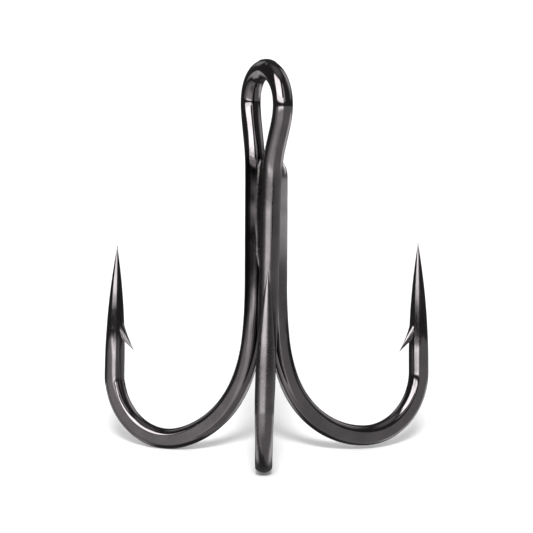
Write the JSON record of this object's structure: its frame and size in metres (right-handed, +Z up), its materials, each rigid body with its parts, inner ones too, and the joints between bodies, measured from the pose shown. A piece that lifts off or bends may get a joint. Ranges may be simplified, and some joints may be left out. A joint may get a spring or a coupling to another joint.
{
  "type": "treble hook",
  "caption": "Heavy barbed treble fishing hook: bends spread evenly round a brazed shank, with a teardrop line eye at the top.",
  "frame": {"origin": "centre of the line eye, on the axis of the shank", "axes": "+Z up the shank to the eye; the eye opens along Y; the single hook points along +Y and the double hook's points lie 120 degrees to each side of it"},
  "size_m": [0.0412, 0.036, 0.0496],
  "materials": {
    "hook_wire": "polished black nickel plate over forged high-carbon steel wire",
    "braze": "braze filler under the same black nickel plate, slightly rippled"
  },
  "bodies": {
    "root": {"double_hook": "hook_wire", "single_hook": "hook_wire", "braze_joint": "braze"}
  },
  "joints": []
}
